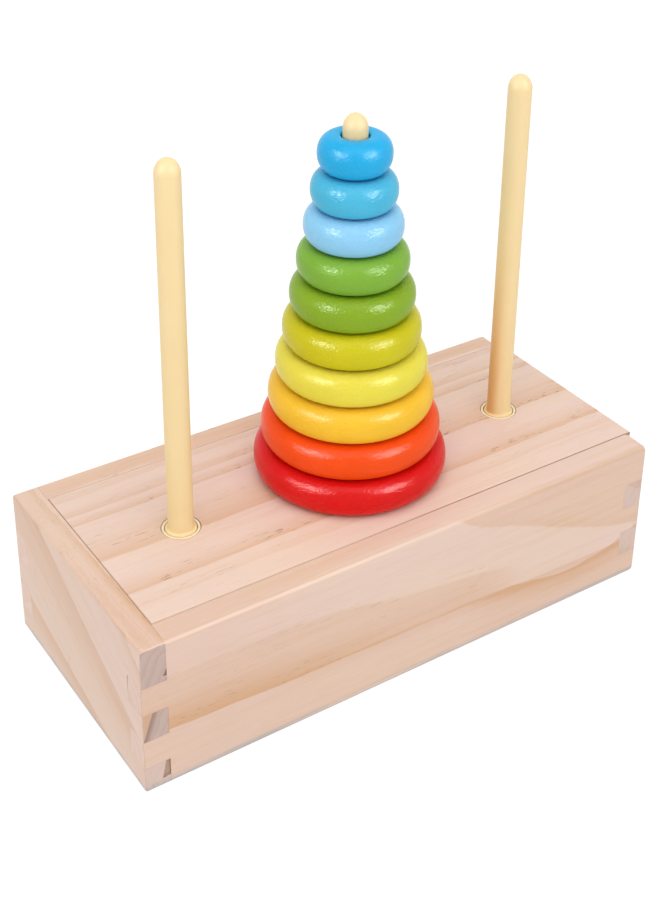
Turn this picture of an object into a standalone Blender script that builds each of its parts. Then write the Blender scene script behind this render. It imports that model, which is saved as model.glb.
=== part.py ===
"""Tower of Hanoi puzzle.

A finger-jointed pine box has a sliding lid. The lid carries three pegs that push into
round inserts, and ten painted rings are stacked on the middle peg.
Units are metres, +Z is up, and the origin is the bottom centre of the box.
"""

import math

import bmesh
import bpy

# Clearance between neighbouring pieces
GAP = 0.0003

# Box
BOX_LENGTH = 0.240
BOX_WIDTH = 0.110
BOX_HEIGHT = 0.0665
BOARD = 0.0105
FINGER = 0.0123
BOTTOM_THICKNESS = 0.006
FRONT_TOP_ROUND = 0.0030
BACK_TOP_ROUND = 0.0013
RIGHT_TOP_ROUND = 0.0040
LEFT_TOP_ROUND = 0.0013
BOTTOM_ROUND = 0.0022
LEFT_CORNER_ROUND = 0.0007
RIGHT_CORNER_ROUND = 0.0015
ROUND_SEGMENTS = 4

# Sliding lid
LID_THICKNESS = 0.010
LID_SIDE_GAP = 0.0004
TONGUE_THICKNESS = 0.004
TONGUE_REACH = 0.0037
GROOVE_DEPTH = 0.004
LID_EDGE_ROUND = 0.0004

# Pegs and their inserts
PEG_PITCH = 0.0785
PEG_ROW_CENTER = 0.005
PEG_TOP = 0.2220
PEG_RADIUS_BASE = 0.00505
PEG_RADIUS_TOP = 0.00485
PEG_DOME = 0.0060
PEG_FOOT_RADIUS = 0.0063
PEG_FOOT_DEPTH = 0.0084
PEG_FLARE = 0.0012
PEG_FLARE_SHARE = 0.7
SOCKET_RADIUS = 0.0076
SOCKET_BORE = 0.0066
SOCKET_FLOOR = 0.0010
PEG_SEGMENTS = 28
PEG_FLARE_STEPS = 3
PEG_DOME_STEPS = 6
SOCKET_SEGMENTS = 32

# Rings, counted from the largest at the bottom
RING_COUNT = 10
RING_PITCH = 0.0147
RING_SMALLEST = 0.0288
RING_STEP = 0.00495
RING_STEP_GROWTH = 0.000065
RING_BULGE = 0.0059
RING_BULGE_SHARE = 0.8
RING_EXPONENT = 2.2
RING_HOLE_RADIUS = 0.0056
RING_HOLE_CHAMFER = 0.0006
RING_SEGMENTS = 36
RING_SIDE_STEPS = 10

# Colours and roughness
PINE = (0.80, 0.66, 0.52)
PINE_ROUGHNESS = 0.55
PEG_CREAM = (0.90, 0.74, 0.42)
PLASTIC_ROUGHNESS = 0.35
PAINT_ROUGHNESS = 0.3
RING_COLOURS = [
    (0.75, 0.02, 0.02),
    (0.93, 0.11, 0.02),
    (0.96, 0.60, 0.05),
    (0.90, 0.83, 0.10),
    (0.68, 0.62, 0.03),
    (0.32, 0.50, 0.03),
    (0.26, 0.48, 0.06),
    (0.35, 0.65, 0.92),
    (0.10, 0.48, 0.74),
    (0.04, 0.46, 0.87),
]

HALF_LENGTH = BOX_LENGTH / 2
HALF_WIDTH = BOX_WIDTH / 2
INNER_X = HALF_LENGTH - BOARD
INNER_Y = HALF_WIDTH - BOARD
LID_BOTTOM = BOX_HEIGHT - LID_THICKNESS
OVER = 0.002


def material(name, colour, roughness):
    """A Principled material in one colour."""
    mat = bpy.data.materials.new(name)
    mat.use_nodes = True
    shader = mat.node_tree.nodes["Principled BSDF"]
    shader.inputs["Base Color"].default_value = (*colour, 1.0)
    shader.inputs["Roughness"].default_value = roughness
    mat.diffuse_color = (*colour, 1.0)
    return mat


def add_object(name, bm, mat=None, location=(0.0, 0.0, 0.0), smooth=False):
    """Turns a bmesh into a named object, with normals facing out."""
    bmesh.ops.recalc_face_normals(bm, faces=bm.faces)
    for face in bm.faces:
        face.smooth = smooth
    mesh = bpy.data.meshes.new(name)
    bm.to_mesh(mesh)
    bm.free()
    obj = bpy.data.objects.new(name, mesh)
    obj.location = location
    bpy.context.scene.collection.objects.link(obj)
    if mat:
        mesh.materials.append(mat)
    return obj


def add_cutter(name, bm):
    """A helper solid for booleans, kept out of the part."""
    obj = add_object(name, bm)
    obj.hide_render = True
    obj.display_type = "WIRE"
    return obj


def boolean(obj, cutter, operation):
    """Adds an exact boolean modifier."""
    mod = obj.modifiers.new(cutter.name, "BOOLEAN")
    mod.object = cutter
    mod.operation = operation
    mod.solver = "EXACT"


def prism(outline, axis, low, high):
    """Extrudes a closed outline along X, Y or Z. Its two coordinates are the other two axes, in order."""
    bm = bmesh.new()
    rings = []
    for level in (low, high):
        verts = []
        for u, v in outline:
            point = [u, v]
            point.insert("XYZ".index(axis), level)
            verts.append(bm.verts.new(point))
        rings.append(verts)
    bm.faces.new(rings[0])
    bm.faces.new(rings[1])
    count = len(outline)
    for i in range(count):
        j = (i + 1) % count
        bm.faces.new((rings[0][i], rings[0][j], rings[1][j], rings[1][i]))
    return bm


def block(low, high):
    """A box from its two opposite corners."""
    (x0, y0, z0), (x1, y1, z1) = low, high
    return prism([(x0, y0), (x1, y0), (x1, y1), (x0, y1)], "Z", z0, z1)


def lathe(profile, segments, closed):
    """A solid of revolution about Z. An open profile starts and ends on the axis."""
    bm = bmesh.new()
    rows = []
    for radius, z in profile:
        if radius == 0.0:
            rows.append([bm.verts.new((0.0, 0.0, z))])
            continue
        angles = [2 * math.pi * i / segments for i in range(segments)]
        rows.append([bm.verts.new((radius * math.cos(a), radius * math.sin(a), z)) for a in angles])
    pairs = list(zip(rows, rows[1:]))
    if closed:
        pairs.append((rows[-1], rows[0]))
    for lower, upper in pairs:
        for i in range(segments):
            j = (i + 1) % segments
            if len(lower) == 1:
                bm.faces.new((lower[0], upper[i], upper[j]))
            elif len(upper) == 1:
                bm.faces.new((lower[i], upper[0], lower[j]))
            else:
                bm.faces.new((lower[i], lower[j], upper[j], upper[i]))
    return bm


def comb_outline(left_teeth, right_teeth, body, tip, bottom, top):
    """A board's outline with finger joints at both ends, counter-clockwise from the bottom left."""

    def side(teeth):
        """One end's steps from bottom to top, as (reach, height)."""
        steps = []
        level = bottom
        for start, end in teeth:
            start_level = max(start * FINGER + GAP / 2, bottom)
            end_level = top if end is None else end * FINGER - GAP / 2
            if start_level > level:
                steps += [(body, level), (body, start_level)]
            steps += [(tip, start_level if start else bottom), (tip, end_level)]
            level = end_level
        if level < top:
            steps += [(body, level), (body, top)]
        return steps

    right = side(right_teeth)
    left = [(-reach, height) for reach, height in reversed(side(left_teeth))]
    return right + left


def wall(name, outline, axis, low, high, envelope, cutters, mat):
    """A wall of the box: its outline through the board, trimmed to the rounded outer shape."""
    obj = add_object(name, prism(outline, axis, low, high), mat)
    boolean(obj, envelope, "INTERSECT")
    for cutter in cutters:
        boolean(obj, cutter, "DIFFERENCE")
    return obj


def rounded_envelope(name, front_top, back_top, right_top, left_top):
    """The box's outer shape, with its own rounding along each kind of edge."""
    bm = block((-HALF_LENGTH, -HALF_WIDTH, 0.0), (HALF_LENGTH, HALF_WIDTH, BOX_HEIGHT))
    weights = bm.edges.layers.float.new("bevel_weight_edge")
    widest = max(front_top, back_top, right_top, left_top, BOTTOM_ROUND)
    for edge in bm.edges:
        middle = (edge.verts[0].co + edge.verts[1].co) / 2
        if middle.z > BOX_HEIGHT - OVER:
            if abs(middle.y) > OVER:
                radius = back_top if middle.y > 0 else front_top
            else:
                radius = right_top if middle.x > 0 else left_top
        elif middle.z < OVER:
            radius = BOTTOM_ROUND
        else:
            radius = LEFT_CORNER_ROUND if middle.x < 0 else RIGHT_CORNER_ROUND
        edge[weights] = radius / widest
    obj = add_cutter(name, bm)
    bevel = obj.modifiers.new("rounding", "BEVEL")
    bevel.limit_method = "WEIGHT"
    bevel.width = widest
    bevel.segments = ROUND_SEGMENTS
    return obj


def build_box(envelope, left_envelope):
    """Four finger-jointed walls with the lid's groove, and the bottom board between them."""
    groove_low = LID_BOTTOM - GAP
    groove_high = LID_BOTTOM + TONGUE_THICKNESS + GAP
    long_grooves = []
    for name, sign in (("cut_groove_front", -1), ("cut_groove_back", 1)):
        ys = sorted((sign * (INNER_Y - 2 * OVER), sign * (INNER_Y + GROOVE_DEPTH)))
        long_grooves.append(
            add_cutter(
                name,
                block(
                    (-HALF_LENGTH - OVER, ys[0], groove_low),
                    (HALF_LENGTH + OVER, ys[1], groove_high),
                ),
            )
        )
    end_groove = add_cutter(
        "cut_groove_end",
        block(
            (-INNER_X - GROOVE_DEPTH, -INNER_Y - GROOVE_DEPTH, groove_low),
            (-INNER_X + 2 * OVER, INNER_Y + GROOVE_DEPTH, groove_high),
        ),
    )

    even_teeth = [(1, 2), (3, 4)]
    odd_teeth = [(0, 1), (2, 3), (4, None)]
    low, high = -OVER, BOX_HEIGHT + OVER
    long_outline = comb_outline(
        even_teeth, odd_teeth, INNER_X - GAP, HALF_LENGTH + OVER, low, high
    )
    for name, sign, groove in zip(("front_panel", "back_panel"), (-1, 1), long_grooves):
        ys = sorted((sign * INNER_Y, sign * (HALF_WIDTH + OVER)))
        mat = material(name + "_pine", PINE, PINE_ROUGHNESS)
        wall(name, long_outline, "Y", ys[0], ys[1], envelope, [groove], mat)

    left_outline = comb_outline(
        odd_teeth, odd_teeth, INNER_Y - GAP, HALF_WIDTH + OVER, low, high
    )
    mat = material("left_end_panel_pine", PINE, PINE_ROUGHNESS)
    outside = -HALF_LENGTH - OVER
    wall("left_end_panel", left_outline, "X", outside, -INNER_X, left_envelope, [end_groove], mat)

    short_top = LID_BOTTOM - 2 * GAP
    right_outline = comb_outline(
        even_teeth, even_teeth, INNER_Y - GAP, HALF_WIDTH + OVER, low, short_top
    )
    mat = material("right_end_panel_pine", PINE, PINE_ROUGHNESS)
    wall("right_end_panel", right_outline, "X", INNER_X, HALF_LENGTH + OVER, envelope, [], mat)

    inside_x, inside_y = INNER_X - GAP, INNER_Y - GAP
    add_object(
        "bottom_panel",
        block((-inside_x, -inside_y, 0.0), (inside_x, inside_y, BOTTOM_THICKNESS)),
        material("bottom_panel_pine", PINE, PINE_ROUGHNESS),
    )


def build_lid(peg_positions):
    """The lid: a board with a tongue on three sides and a hole for each peg's insert."""
    half = INNER_Y - LID_SIDE_GAP
    reach = INNER_Y + TONGUE_REACH
    section = [
        (-reach, 0.0),
        (reach, 0.0),
        (reach, TONGUE_THICKNESS),
        (half, TONGUE_THICKNESS),
        (half, LID_THICKNESS),
        (-half, LID_THICKNESS),
        (-half, TONGUE_THICKNESS),
        (-reach, TONGUE_THICKNESS),
    ]
    lid = add_object(
        "sliding_lid",
        prism(section, "X", -INNER_X - TONGUE_REACH, HALF_LENGTH),
        material("sliding_lid_pine", PINE, PINE_ROUGHNESS),
        location=(0.0, 0.0, LID_BOTTOM),
    )
    head = add_cutter(
        "cut_lid_head",
        block(
            (-HALF_LENGTH, -HALF_WIDTH, LID_BOTTOM + TONGUE_THICKNESS),
            (-INNER_X + LID_SIDE_GAP, HALF_WIDTH, BOX_HEIGHT + OVER),
        ),
    )
    bevel = lid.modifiers.new("edge_round", "BEVEL")
    bevel.limit_method = "ANGLE"
    bevel.width = LID_EDGE_ROUND
    bevel.segments = 1
    boolean(lid, head, "DIFFERENCE")
    for name, x in peg_positions:
        profile = [
            (0.0, LID_BOTTOM - OVER),
            (SOCKET_RADIUS + GAP, LID_BOTTOM - OVER),
            (SOCKET_RADIUS + GAP, BOX_HEIGHT + OVER),
            (0.0, BOX_HEIGHT + OVER),
        ]
        hole = add_cutter("cut_socket_" + name, lathe(profile, SOCKET_SEGMENTS, False))
        hole.location.x = x
        boolean(lid, hole, "DIFFERENCE")


def build_socket(name, x):
    """A cup-shaped insert, flush with the lid's top."""
    base = LID_BOTTOM + GAP
    height = BOX_HEIGHT - base
    edge = GAP / 2
    profile = [
        (0.0, 0.0),
        (SOCKET_RADIUS - edge, 0.0),
        (SOCKET_RADIUS, edge),
        (SOCKET_RADIUS, height - edge),
        (SOCKET_RADIUS - edge, height),
        (SOCKET_BORE + edge, height),
        (SOCKET_BORE, height - edge),
        (SOCKET_BORE, SOCKET_FLOOR),
        (0.0, SOCKET_FLOOR),
    ]
    mat = material("peg_socket_" + name + "_plastic", PEG_CREAM, PLASTIC_ROUGHNESS)
    add_object("peg_socket_" + name, lathe(profile, SOCKET_SEGMENTS, False), mat, (x, 0.0, base))


def build_peg(name, x):
    """A tapered peg with a foot that fits the insert, a flare at the lid's top and a domed tip."""
    base = BOX_HEIGHT - PEG_FOOT_DEPTH
    shoulder = PEG_FOOT_DEPTH + PEG_FLARE
    dome_start = PEG_TOP - base - PEG_DOME
    profile = [
        (0.0, 0.0),
        (PEG_FOOT_RADIUS - GAP, 0.0),
        (PEG_FOOT_RADIUS, GAP),
        (PEG_FOOT_RADIUS, PEG_FOOT_DEPTH - GAP),
    ]
    flare_width = (PEG_FOOT_RADIUS - PEG_RADIUS_BASE) * PEG_FLARE_SHARE
    for i in range(PEG_FLARE_STEPS + 1):
        angle = math.pi / 2 * i / PEG_FLARE_STEPS
        radius = PEG_RADIUS_BASE + flare_width * (1 - math.sin(angle))
        profile.append((radius, shoulder - PEG_FLARE * math.cos(angle)))
    for i in range(PEG_DOME_STEPS):
        angle = math.pi / 2 * i / PEG_DOME_STEPS
        profile.append((PEG_RADIUS_TOP * math.cos(angle), dome_start + PEG_DOME * math.sin(angle)))
    profile.append((0.0, dome_start + PEG_DOME))
    mat = material("peg_" + name + "_plastic", PEG_CREAM, PLASTIC_ROUGHNESS)
    add_object("peg_" + name, lathe(profile, PEG_SEGMENTS, False), mat, (x, 0.0, base), smooth=True)


def ring_profile(radius):
    """A ring's section: bulged outer side, flat top and bottom, chamfered hole."""
    half = (RING_PITCH - GAP) / 2
    inner = RING_HOLE_RADIUS
    lip = inner + RING_HOLE_CHAMFER
    bulge = min(RING_BULGE, (radius - lip) * RING_BULGE_SHARE)
    power = 2 / RING_EXPONENT
    points = []
    for i in range(RING_SIDE_STEPS + 1):
        angle = math.pi * (i / RING_SIDE_STEPS - 0.5)
        out = abs(math.cos(angle)) ** power
        up = math.copysign(abs(math.sin(angle)) ** power, math.sin(angle))
        points.append((radius - bulge + bulge * out, half * (1 + up)))
    points += [
        (lip, 2 * half),
        (inner, 2 * half - RING_HOLE_CHAMFER),
        (inner, RING_HOLE_CHAMFER),
        (lip, 0.0),
    ]
    return points


def build_rings():
    """Ten rings on the middle peg, each smaller than the one under it."""
    for index in range(RING_COUNT):
        rank = RING_COUNT - 1 - index
        diameter = RING_SMALLEST + RING_STEP * rank + RING_STEP_GROWTH * rank * rank
        name = "ring_%02d" % (index + 1)
        base = BOX_HEIGHT + GAP + RING_PITCH * index
        bm = lathe(ring_profile(diameter / 2), RING_SEGMENTS, True)
        mat = material(name + "_paint", RING_COLOURS[index], PAINT_ROUGHNESS)
        add_object(name, bm, mat, (PEG_ROW_CENTER, 0.0, base), smooth=True)


def main():
    for obj in list(bpy.data.objects):
        bpy.data.objects.remove(obj, do_unlink=True)
    pegs = [
        ("left", PEG_ROW_CENTER - PEG_PITCH),
        ("center", PEG_ROW_CENTER),
        ("right", PEG_ROW_CENTER + PEG_PITCH),
    ]
    left = LEFT_TOP_ROUND
    build_box(
        rounded_envelope("cut_envelope", FRONT_TOP_ROUND, BACK_TOP_ROUND, RIGHT_TOP_ROUND, left),
        rounded_envelope("cut_left_envelope", left, left, left, left),
    )
    build_lid(pegs)
    for name, x in pegs:
        build_socket(name, x)
        build_peg(name, x)
    build_rings()


main()
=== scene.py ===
"""Looks of the tower of Hanoi puzzle: camera, studio light, fine meshes and procedural materials.

Every piece stands for one CAD node and takes its place and main sizes from that node's box.
Lengths are metres in the meshes and millimetres inside the materials.
"""

import math

import bmesh
import bpy
from mathutils import Matrix, Vector


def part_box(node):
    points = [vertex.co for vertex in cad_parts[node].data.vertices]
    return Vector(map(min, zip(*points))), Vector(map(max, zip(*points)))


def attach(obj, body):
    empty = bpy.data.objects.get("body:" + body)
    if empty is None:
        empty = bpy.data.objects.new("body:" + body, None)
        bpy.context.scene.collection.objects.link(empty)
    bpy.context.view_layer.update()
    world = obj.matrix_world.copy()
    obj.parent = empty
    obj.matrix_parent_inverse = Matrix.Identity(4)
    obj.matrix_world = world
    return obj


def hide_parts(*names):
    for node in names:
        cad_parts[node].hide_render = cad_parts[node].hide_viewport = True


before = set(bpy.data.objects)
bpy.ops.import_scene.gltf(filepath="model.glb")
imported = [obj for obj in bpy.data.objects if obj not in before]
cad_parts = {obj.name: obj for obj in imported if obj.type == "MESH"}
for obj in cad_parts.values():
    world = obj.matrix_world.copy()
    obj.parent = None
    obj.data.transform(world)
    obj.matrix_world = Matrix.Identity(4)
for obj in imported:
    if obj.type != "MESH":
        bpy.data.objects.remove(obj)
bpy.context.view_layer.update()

# Millimetres in a metre, and directions
MM = 1000.0
RIGHT, BACK, UP = (1, 0, 0), (0, 1, 0), (0, 0, 1)

# Camera, in metres and degrees. Azimuth 0 looks along +Y.
CAMERA_PLACE = (-0.2979, -0.4396, 0.4340)
CAMERA_AZIMUTH = -33.6
CAMERA_ELEVATION = 26.12
CAMERA_ROLL = 0.67
CAMERA_LENS = 62.21
CAMERA_SHIFT = -0.24
CAMERA_CLIP = (0.01, 20)

# Studio light: distances in metres, powers in watts, and the world's strength low down and high up
HORIZON_STRENGTH = 1.0
SKY_STRENGTH = 0.5
SKY_BLEND = (0.2, 0.6)
SOFTBOX_AZIMUTHS = (CAMERA_AZIMUTH - 50, CAMERA_AZIMUTH + 54)
SOFTBOX_ELEVATION = 32
SOFTBOX_DISTANCE = 0.95
SOFTBOX_SIZE = 0.42
SOFTBOX_POWER = 20.0
KEY_AZIMUTH = CAMERA_AZIMUTH + 5
KEY_ELEVATION = 68
KEY_DISTANCE = 1.3
KEY_SIZE = 1.3
KEY_POWER = 12.0
FILL_ELEVATION = 50
FILL_POWER = 3.0
FLOOR_GLOW = 0.95
FLOOR_WHITE = 0.12
FLOOR_SIZE = 12
FLOOR_DROP = 0.0005

# Box, from the frame
FRONT_LOW, FRONT_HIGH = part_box("front_panel")
LID_LOW, LID_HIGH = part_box("sliding_lid")
HALF_LENGTH = FRONT_HIGH.x
HALF_WIDTH = -FRONT_LOW.y
BOX_HEIGHT = FRONT_HIGH.z
BOARD = FRONT_HIGH.y - FRONT_LOW.y
INNER_X = HALF_LENGTH - BOARD
INNER_Y = HALF_WIDTH - BOARD
LID_BOTTOM = LID_LOW.z
SHORT_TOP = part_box("right_end_panel")[1].z
BASE_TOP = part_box("bottom_panel")[1].z

# The same in millimetres, for the materials
HALF_LENGTH_MM, HALF_WIDTH_MM, HEIGHT_MM = MM * HALF_LENGTH, MM * HALF_WIDTH, MM * BOX_HEIGHT
INNER_X_MM, INNER_Y_MM = MM * INNER_X, MM * INNER_Y

# Box details. JOINT is the gap in a finger joint, and OVER how far a cutter reaches past what it cuts.
JOINT = 0.00006
FINGER = 0.0123
GROOVE_DEPTH = 0.004
GROOVE_HEIGHT = 0.0043
GROOVE_PLAY = 0.0003
FRONT_TOP_ROUND = 0.0030
BACK_TOP_ROUND = 0.0013
RIGHT_TOP_ROUND = 0.0040
LEFT_TOP_ROUND = 0.0013
BOTTOM_ROUND = 0.0022
LEFT_CORNER_ROUND = 0.0007
RIGHT_CORNER_ROUND = 0.0015
ROUND_SEGMENTS = 8
CHIP_DEPTH = 0.0006
OVER = 0.002
BOARD_SMOOTH_ANGLE = 35

# Chips at the front left joint, in millimetres: how far outside the joint's inner line, and the height
FRONT_CHIPS = (
    [(0.0, 54.8), (0.0, 51.4), (-1.5, 51.6)],
    [(-1.7, 12.1), (0.0, 12.1), (0.0, 4.6), (-3.4, 4.1)],
)
LEFT_CHIP = [(-0.45, 48.6), (0.0, 48.6), (0.0, 41.0)]

# Lid, pegs and rings
LID_SIDE_GAP = 0.00019
TONGUE_THICKNESS = 0.004
LID_EDGE_ROUND = 0.0005
SOCKET_PLAY = 0.0003
PEG_RADIUS_BASE = 0.00505
PEG_RADIUS_TOP = 0.00485
PEG_DOME = 0.0060
PEG_FLARE = 0.0012
PEG_FLARE_SHARE = 0.7
SOCKET_BORE = 0.0066
SOCKET_FLOOR = 0.0010
SOCKET_EDGE = 0.0002
RING_BULGE = 0.0059
RING_BULGE_SHARE = 0.8
RING_EXPONENT = 2.2
RING_HOLE_RADIUS = 0.0056
RING_HOLE_CHAMFER = 0.0006
RING_SIDE_STEPS = 32
RING_HOLE_STEPS = 5
PEG_FLARE_STEPS = 8
PEG_DOME_STEPS = 18
EDGE_STEPS = 3
HOLE_SEGMENTS = 96
PEG_SEGMENTS = 72
RING_SEGMENTS = 128
PEG_SMOOTH_ANGLE = 40
RING_SMOOTH_ANGLE = 50

# Pine colours, linear
PINE_LIGHT = (0.75, 0.565, 0.46)
PINE_PINK = (0.745, 0.555, 0.475)
PINE_TAN = (0.63, 0.365, 0.205)
PINE_PORE = (0.24, 0.10, 0.04)
END_LIGHT = (0.54, 0.40, 0.35)
END_DARK = (0.41, 0.29, 0.25)
CHIP_WOOD_AND_SHADE_BROWN = (0.44, 0.285, 0.21)
SLANT_LINE_BROWN = (0.30, 0.18, 0.13)
UNDERSIDE_SHADE_AND_SCUFF_GREY = (0.40, 0.385, 0.375)
GAP_SHADE_BROWN = (0.33, 0.17, 0.10)

# Noises in the pine: bumps to a millimetre along and across the fibres, then detail and roughness
PINE_NOISES = {
    "slow": (0.013, 0.03, 1.0, 0.5),
    "quick": (0.05, 0.55, 2.0, 0.5),
    "fibre": (0.09, 2.4, 3.0, 0.6),
    "fine": (0.045, 0.95, 2.0, 0.5),
    "streak": (0.012, 0.33, 2.0, 0.5),
    "patch": (0.012, 0.05, 1.0, 0.5),
    "dash": (0.20, 1.7, 1.0, 0.4),
    "group": (0.03, 0.13, 1.0, 0.5),
    "scuff": (0.02, 1.2, 2.0, 0.6),
}
PINE_SEED_SHIFT = (211.0, 97.0, 53.0)

# How far the waves bend the growth rings, and the width of a ring's sharp side, in millimetres
SLOW_SWAY = 3.5
QUICK_SWAY = 1.2
RING_EDGE = 0.45

# How far each feature turns the pine tan or dark, and changes its brightness; the rounded edges' darkening is
# painted shade
LATE_SHARE = 0.95
STREAK_SHARE = 0.14
FINE_SHARE = 0.22
PORE_SHARE = 0.72
FIBRE_SHADE = 0.12
FINE_SHADE = 0.07
PAINTED_EDGE_SHADE = -0.06
MEAN_SHADE = (FIBRE_SHADE + FINE_SHADE) / 2
PINE_RELIEF = 0.00012

# End grain: the way its growth lines cross, lines and speckles to a millimetre, and how far they bend
END_LINES_ACROSS = (0.78, 0.5, -0.42)
END_LINES = 0.30
END_SPECKLES = 2.2
END_WAVES = 0.12
END_BEND = 1.6

# The slanted line across the middle finger's end: millimetres sideways to each one up, its foot, and blur
SLANT = 0.333
SLANT_FOOT = 115.9
FINGER_BLUR = 0.2

# Growth rings as (edge, strength, fade), with edges and fades in millimetres across the board
LID_RINGS = [
    (-33.5, 0.28, 5.0),
    (-25.0, 0.66, 9.0),
    (-3.0, 0.66, 17.0),
    (22.5, 0.62, 5.5),
    (29.5, 0.50, 6.0),
    (40.5, 0.30, 6.0),
]
LEFT_RINGS = [(9.8, 0.62, -14.0), (50.5, 0.56, -32.0), (99.0, 0.5, -11.0)]
LEFT_TOP_RINGS = [(4.0, 0.45, -6.0), (9.0, 0.60, -5.0)]
FRONT_ARC_RING = [(0.0, 0.62, -10.0)]

# Lines on the front board, as (x, height) in millimetres: the foot of the broad band of late wood, the line
# above it, the arc at the lower right, and the edge of the tongue of darker wood under the rim
FRONT_SPAN = (-120.0, 120.0)
BAND_FOOT = [(-120, 26.5), (-90, 25.5), (-50, 24.1), (0, 23.2), (35, 22.2), (80, 20.0), (120, 20.0)]
BAND_HEAD = [(-120, 51), (-60, 49.5), (-34, 47), (-12, 42.0), (10, 38.5), (32, 35.5), (60, 30), (120, 26)]
ARC = [(-120, 12.0), (0, 20.5), (40, 22.2), (56, 20.1), (70, 17.5), (80, 16.5), (90, 17.4)]
ARC += [(100, 18.9), (112, 23.0), (120, 27.0)]
TONGUE = [(-120, 120), (18, 67.5), (32, 58.5), (50, 51.5), (66, 44.5), (80, 38.5), (96, 32.5), (120, 27)]

# Plastic and paint colours, linear
PEG_CREAM = (0.84, 0.655, 0.36)
SOCKET_CREAM = (0.84, 0.73, 0.54)
PEG_PAINTED_SHADE = (0.66, 0.36, 0.10)
CLOUD_TINT = (0.97, 0.93, 0.86)

# The right peg's painted shade and orange colour bled from the rings: the side it is on, and the millimetres
# above the lid where it ends and is full
PAINTED_SHADE_FROM = (-0.9, 0.43, 0)
PAINTED_SHADE_HEIGHTS = (95.0, 5.0)

# How deep the relief is in plastic and paint
PLASTIC_RELIEF = 0.00006
PAINT_RELIEF = 0.00034

# Paint of each ring, largest ring first, linear
RING_COLOURS = {
    "red": (0.67, 0.006, 0.005),
    "orange_red": (0.85, 0.071, 0.003),
    "amber": (0.86, 0.50, 0.030),
    "lemon": (0.76, 0.66, 0.065),
    "olive_yellow": (0.58, 0.52, 0.009),
    "lime_green": (0.23, 0.38, 0.018),
    "green": (0.20, 0.41, 0.04),
    "pale_blue": (0.26, 0.57, 0.82),
    "mid_blue": (0.068, 0.45, 0.67),
    "bright_blue": (0.018, 0.39, 0.72),
}


# ---------------------------------------------------------------- camera, floor and light


def direction(azimuth, elevation):
    """The unit vector from the object towards a place at this azimuth and elevation."""
    a, e = math.radians(azimuth), math.radians(elevation)
    return Vector((math.sin(a) * math.cos(e), -math.cos(a) * math.cos(e), math.sin(e)))


def make_camera():
    """A camera that looks along the given angles, with a small roll and a vertical lens shift."""
    data = bpy.data.cameras.new("camera")
    data.lens = CAMERA_LENS
    data.shift_y = CAMERA_SHIFT
    data.clip_start, data.clip_end = CAMERA_CLIP
    cam = bpy.data.objects.new("camera", data)
    bpy.context.scene.collection.objects.link(cam)
    back = direction(CAMERA_AZIMUTH, CAMERA_ELEVATION)
    level = Vector((math.cos(math.radians(CAMERA_AZIMUTH)), math.sin(math.radians(CAMERA_AZIMUTH)), 0))
    right = Matrix.Rotation(math.radians(CAMERA_ROLL), 3, back) @ level
    up = back.cross(right)
    cam.matrix_world = Matrix.Translation(CAMERA_PLACE) @ Matrix((right, up, back)).transposed().to_4x4()
    bpy.context.scene.camera = cam


def area_light(name, azimuth, elevation, distance, size, power):
    """A square soft light that faces the middle of the object."""
    middle = Vector((0, 0, BOX_HEIGHT))
    data = bpy.data.lights.new(name, "AREA")
    data.shape = "SQUARE"
    data.size = size
    data.energy = power
    light = bpy.data.objects.new(name, data)
    bpy.context.scene.collection.objects.link(light)
    towards = direction(azimuth, elevation)
    light.location = middle + towards * distance
    light.rotation_euler = towards.to_track_quat("Z", "Y").to_euler()
    return light


def make_studio():
    """A pale world and floor, a large key, a weak fill behind, and a softbox on each side for the gloss."""
    world = bpy.data.worlds.new("studio")
    world.use_nodes = True
    nodes, links = world.node_tree.nodes, world.node_tree.links
    nodes["Background"].inputs["Color"].default_value = (1, 1, 1, 1)
    height = nodes.new("ShaderNodeSeparateXYZ")
    links.new(nodes.new("ShaderNodeTexCoord").outputs["Generated"], height.inputs[0])
    fade = nodes.new("ShaderNodeMapRange")
    fade.interpolation_type = "SMOOTHSTEP"
    links.new(height.outputs["Z"], fade.inputs["Value"])
    fade.inputs["From Min"].default_value, fade.inputs["From Max"].default_value = SKY_BLEND
    fade.inputs["To Min"].default_value = HORIZON_STRENGTH
    fade.inputs["To Max"].default_value = SKY_STRENGTH
    links.new(fade.outputs[0], nodes["Background"].inputs["Strength"])
    bpy.context.scene.world = world
    bpy.context.scene.view_settings.view_transform = "Standard"

    area_light("key", KEY_AZIMUTH, KEY_ELEVATION, KEY_DISTANCE, KEY_SIZE, KEY_POWER)
    fill = area_light("fill", KEY_AZIMUTH + 180, FILL_ELEVATION, KEY_DISTANCE, KEY_SIZE, FILL_POWER)
    fill.visible_glossy = False
    for side, azimuth in zip(("left", "right"), SOFTBOX_AZIMUTHS):
        name = "softbox_" + side
        box = area_light(name, azimuth, SOFTBOX_ELEVATION, SOFTBOX_DISTANCE, SOFTBOX_SIZE, SOFTBOX_POWER)
        box.visible_diffuse = False

    bpy.ops.mesh.primitive_plane_add(size=FLOOR_SIZE, location=(0, 0, -FLOOR_DROP))
    floor = bpy.context.active_object
    floor.name = "floor"
    mat = bpy.data.materials.new("floor")
    mat.use_nodes = True
    shader = mat.node_tree.nodes["Principled BSDF"]
    shader.inputs["Base Color"].default_value = (FLOOR_WHITE, FLOOR_WHITE, FLOOR_WHITE, 1)
    shader.inputs["Roughness"].default_value = 1.0
    shader.inputs["Specular IOR Level"].default_value = 0.0
    shader.inputs["Emission Color"].default_value = (1, 1, 1, 1)
    shader.inputs["Emission Strength"].default_value = FLOOR_GLOW
    floor.data.materials.append(mat)


# ---------------------------------------------------------------- material tools


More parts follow.
